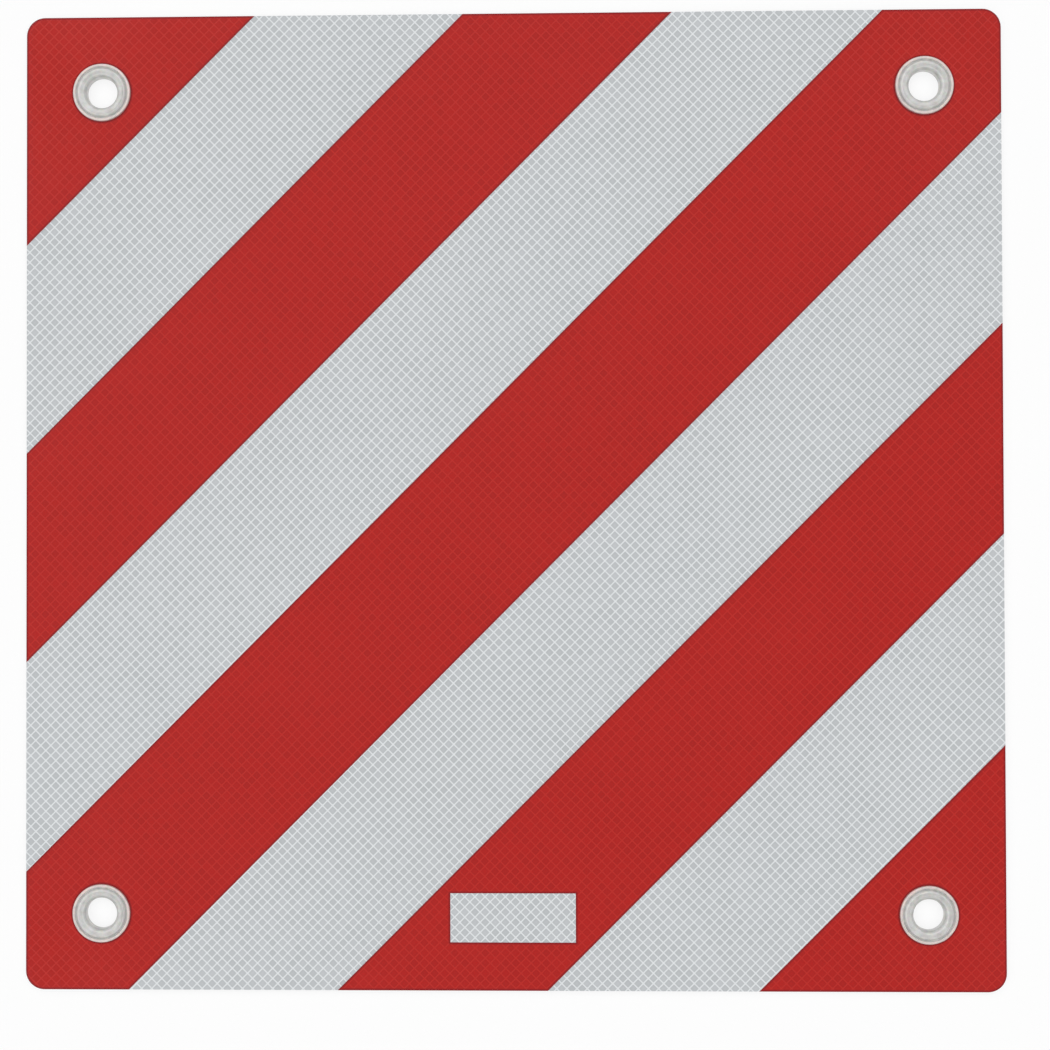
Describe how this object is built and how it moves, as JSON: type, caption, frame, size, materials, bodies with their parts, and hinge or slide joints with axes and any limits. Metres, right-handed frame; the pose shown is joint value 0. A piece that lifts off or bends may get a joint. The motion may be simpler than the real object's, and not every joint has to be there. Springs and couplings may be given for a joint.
{
  "type": "hazard marker board",
  "caption": "Square aluminium sheet faced with white reflective sheeting and slanting red stripes, with metal eyelets in its corners to tie it to an overhanging load.",
  "frame": {"origin": "centre of the board, on the surface that the rolled backs of its eyelets rest on", "axes": "+X to the right and +Y to the top of the face, +Z out of the face"},
  "size_m": [0.5, 0.5, 0.0054],
  "materials": {
    "panel_aluminium": "mill, rolled",
    "white_sheeting": "glossy film over a fine slanting lattice",
    "red_print": "glossy transparent red over the same lattice",
    "eyelet_metal": "satin",
    "washer_metal": "satin"
  },
  "bodies": {
    "root": {"aluminium_panel": "panel_aluminium", "reflective_sheeting": "white_sheeting", "red_corner_top_left": "red_print", "red_stripe_upper": "red_print", "red_stripe_centre": "red_print", "red_stripe_lower": "red_print", "red_corner_bottom_right": "red_print", "eyelet_top_left": "eyelet_metal", "eyelet_washer_top_left": "washer_metal", "eyelet_top_right": "eyelet_metal", "eyelet_washer_top_right": "washer_metal", "eyelet_bottom_left": "eyelet_metal", "eyelet_washer_bottom_left": "washer_metal", "eyelet_bottom_right": "eyelet_metal", "eyelet_washer_bottom_right": "washer_metal"}
  },
  "joints": []
}
